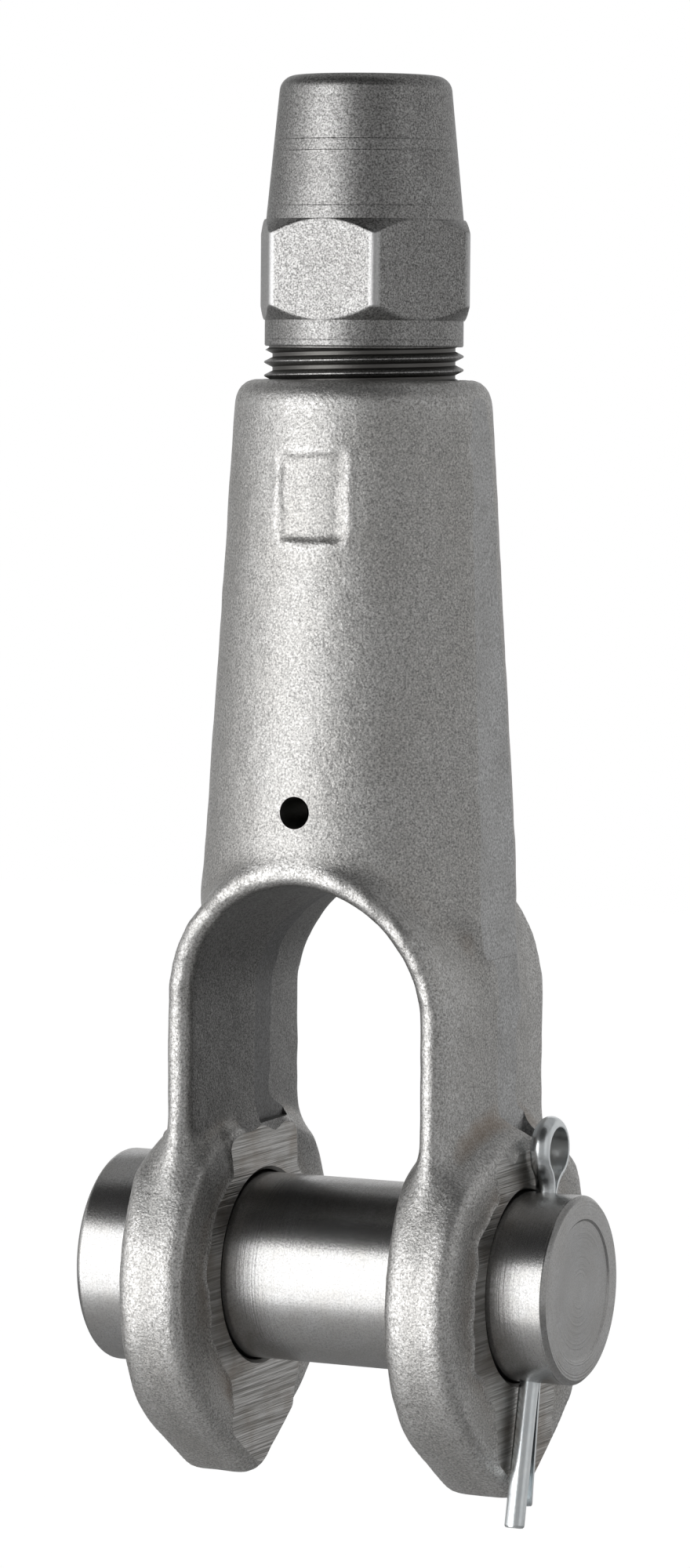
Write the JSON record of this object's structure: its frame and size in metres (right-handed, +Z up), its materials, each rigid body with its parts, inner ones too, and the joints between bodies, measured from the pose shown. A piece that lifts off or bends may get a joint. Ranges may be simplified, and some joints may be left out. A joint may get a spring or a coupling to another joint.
{
  "type": "forged clevis strand fitting",
  "caption": "Forged clevis end fitting for wire strand: two-eared yoke with headed pin and cotter, tapered socket, and a screwed hexagon gland sleeve over a wedge plug.",
  "frame": {"origin": "where the clevis pin's axis crosses the strand's axis, in the middle of the jaw", "axes": "+Z up the strand, out of the hexagon sleeve; +X along the clevis pin, from its head to its cotter; -Y is the front, with the sight hole"},
  "size_m": [0.0689, 0.049, 0.1929],
  "materials": {
    "forged_steel": "shot-blasted forging",
    "machined_steel": "satin, fine blasted",
    "plug_steel": "turned",
    "turned_steel": "satin turned",
    "zinc_wire": "bright zinc plate"
  },
  "bodies": {
    "clevis": {"clevis_socket": "forged_steel"},
    "pin": {"clevis_pin": "turned_steel", "cotter_pin": "zinc_wire"},
    "plug": {"wedge_plug": "plug_steel"},
    "sleeve": {"hex_sleeve": "machined_steel"}
  },
  "joints": [
    {"name": "pin_turn", "type": "hinge", "parent": "clevis", "child": "pin", "pos_m": [0, 0, 0], "axis": [1, 0, 0], "continuous": true},
    {"name": "sleeve_turn", "type": "hinge", "parent": "clevis", "child": "plug", "pos_m": [0, 0, 0.06], "axis": [0, 0, 1], "range_deg": [-720, 5045]},
    {"name": "sleeve_travel", "type": "slide", "parent": "plug", "child": "sleeve", "axis": [0, 0, 1], "range_m": [-0.0036, 0.0254]}
  ],
  "couplings": [
    {"joint": "sleeve_turn", "follows": "sleeve_travel", "rad_per_m": 3463.2}
  ]
}
